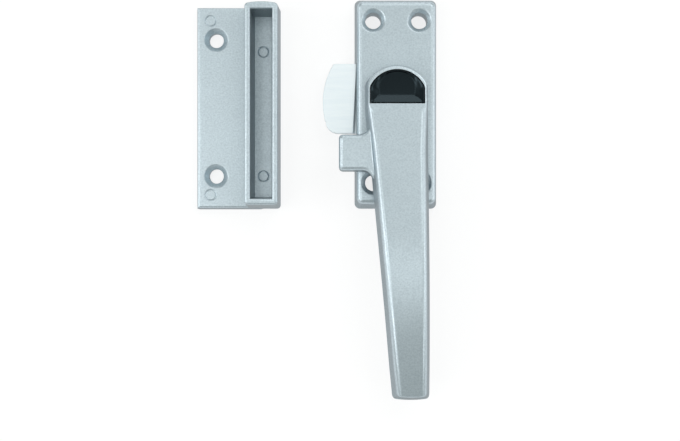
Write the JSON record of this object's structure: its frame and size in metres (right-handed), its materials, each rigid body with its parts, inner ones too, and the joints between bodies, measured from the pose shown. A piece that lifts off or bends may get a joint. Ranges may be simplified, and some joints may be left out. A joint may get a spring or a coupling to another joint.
{
  "type": "window latch",
  "caption": "Turning window latch with a bowed lever, push-button lock, side lug and pivoting steel tongue on a screwed-on base, with a flanged strike box that the tongue enters.",
  "frame": {"origin": "handle's pivot axis at the mounting face of the base, the middle of its four screw holes", "axes": "+Z out of the wall towards the user, +Y along the base away from the grip, -X towards the strike box"},
  "size_m": [0.0779, 0.1291, 0.0228],
  "materials": {
    "silver_paint": "fine metallic silver paint on a die casting",
    "zinc_steel": "bright zinc-plated steel sheet",
    "spring_steel": "bright spring steel",
    "black_plastic": "satin black plastic",
    "bush_plastic": "natural white acetal"
  },
  "bodies": {
    "base": {"base_plate": "silver_paint", "bearing_bush": "bush_plastic", "lock_spring": "spring_steel", "keeper": "silver_paint"},
    "lever": {"handle": "silver_paint", "tongue": "zinc_steel", "spring_washer": "spring_steel", "retaining_washer": "zinc_steel", "button_spring": "spring_steel"},
    "button": {"push_button": "black_plastic"}
  },
  "joints": [
    {"name": "handle_turn", "type": "hinge", "parent": "base", "child": "lever", "pos_m": [0, 0, 0.007], "axis": [0, 0, 1], "range_deg": [0, 90], "deforming": ["lock_spring"]},
    {"name": "button_press", "type": "slide", "parent": "lever", "child": "button", "axis": [0, 0, -1], "range_m": [0, 0.0018], "stiffness_N_per_m": 800, "springref_m": -0.001, "deforming": ["button_spring", "lock_spring"]}
  ]
}
